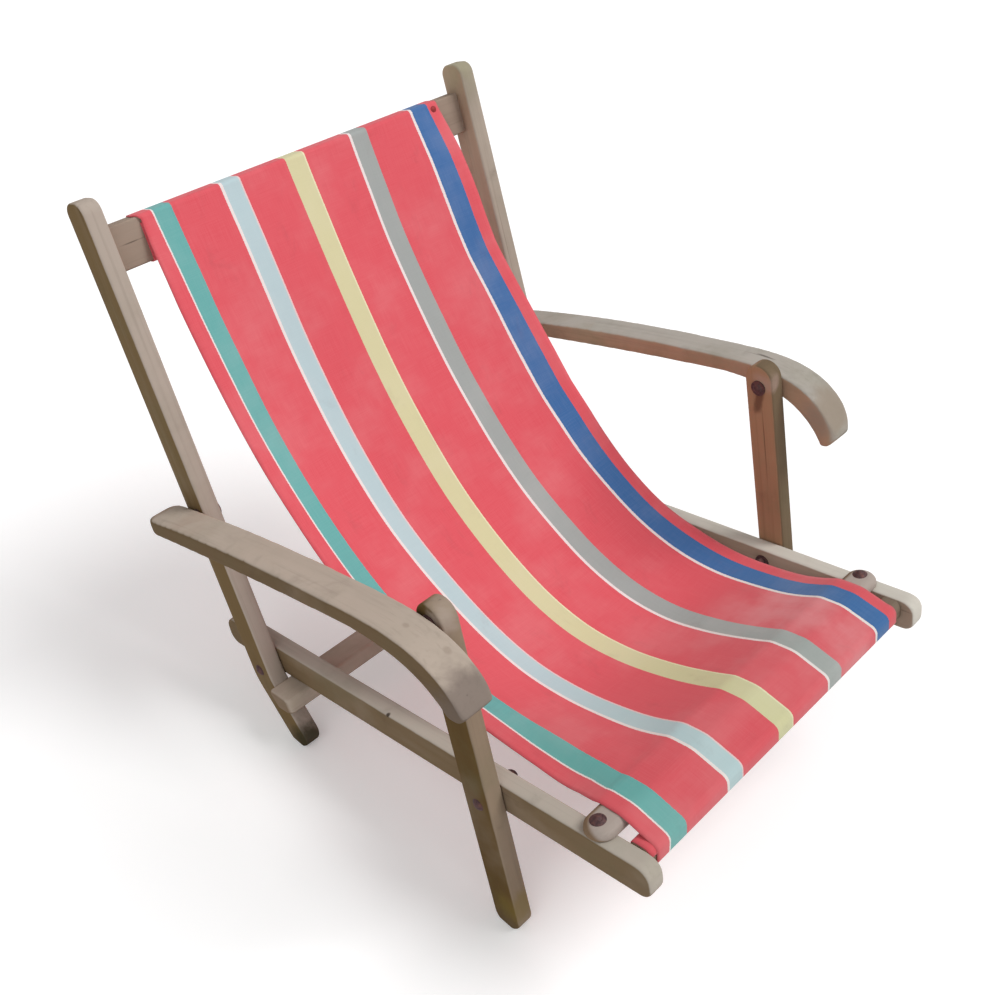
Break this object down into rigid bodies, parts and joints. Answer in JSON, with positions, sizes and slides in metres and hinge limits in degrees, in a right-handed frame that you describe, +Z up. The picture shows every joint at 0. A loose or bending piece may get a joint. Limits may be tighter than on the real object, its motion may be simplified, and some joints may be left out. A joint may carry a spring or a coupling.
{
  "type": "folding deck chair",
  "caption": "Low folding timber deck chair with flat armrests, bent rear feet and a striped canvas sling for the seat and back.",
  "frame": {"origin": "centre of the bounding box's footprint, on the ground under the chair's feet", "axes": "+Z up, -Y the way the chair faces, +X towards a sitter's left hand; the left pieces are on the -X side, the viewer's left from the front"},
  "size_m": [0.638, 0.7917, 0.6419],
  "materials": {
    "timber": "weathered",
    "timber_top": "weathered grey",
    "hardware": "rusted",
    "canvas": "woven, striped"
  },
  "bodies": {
    "seat_frame": {"seat_rail_left": "timber", "seat_rail_right": "timber", "front_rail": "timber", "front_crossbar": "timber_top", "rear_crossbar": "timber", "front_crossbar_screws": "hardware", "front_cup_washers": "hardware", "rear_crossbar_screws": "hardware", "back_pivot_bolts": "hardware", "back_pivot_washers": "hardware", "back_pivot_nuts": "hardware", "leg_pivot_bolts": "hardware", "leg_pivot_washers": "hardware", "leg_pivot_nuts": "hardware", "canvas_sling": "canvas", "canvas_front_wrap": "canvas"},
    "back_frame": {"back_post_left": "timber", "back_post_right": "timber", "top_rail": "timber", "canvas_top_wrap": "canvas", "canvas_tack": "hardware"},
    "leg_left": {"front_leg_left": "timber"},
    "leg_right": {"front_leg_right": "timber"},
    "armrest_left": {"arm_left": "timber_top", "arm_rear_screw_left": "hardware", "arm_front_screw_left": "hardware", "arm_washers_left": "hardware", "arm_spacers_left": "hardware"},
    "armrest_right": {"arm_right": "timber_top", "arm_rear_screw_right": "hardware", "arm_front_screw_right": "hardware", "arm_washers_right": "hardware", "arm_spacers_right": "hardware"}
  },
  "joints": [
    {"name": "back_fold", "type": "hinge", "parent": "seat_frame", "child": "back_frame", "pos_m": [0, 0.18723, 0.08987], "axis": [1, 0, 0], "range_deg": [0, 83], "deforming": ["canvas_sling"]},
    {"name": "leg_left_pivot", "type": "hinge", "parent": "seat_frame", "child": "leg_left", "pos_m": [-0.2635, -0.19094, 0.18155], "axis": [1, 0, 0], "range_deg": [0, 80]},
    {"name": "armrest_left_pivot", "type": "hinge", "parent": "back_frame", "child": "armrest_left", "pos_m": [-0.2635, 0.25585, 0.29896], "axis": [1, 0, 0], "range_deg": [-81.8, 0]},
    {"name": "leg_right_pivot", "type": "hinge", "parent": "seat_frame", "child": "leg_right", "pos_m": [0.2635, -0.19094, 0.18155], "axis": [1, 0, 0], "range_deg": [0, 80]},
    {"name": "armrest_right_pivot", "type": "hinge", "parent": "back_frame", "child": "armrest_right", "pos_m": [0.2635, 0.25585, 0.29896], "axis": [1, 0, 0], "range_deg": [-81.8, 0]}
  ],
  "couplings": [
    {"joint": "leg_left_pivot", "follows": "back_fold", "ratio": 0.9613},
    {"joint": "armrest_left_pivot", "follows": "back_fold", "ratio": -0.9829},
    {"joint": "leg_right_pivot", "follows": "back_fold", "ratio": 0.9613},
    {"joint": "armrest_right_pivot", "follows": "back_fold", "ratio": -0.9829}
  ]
}
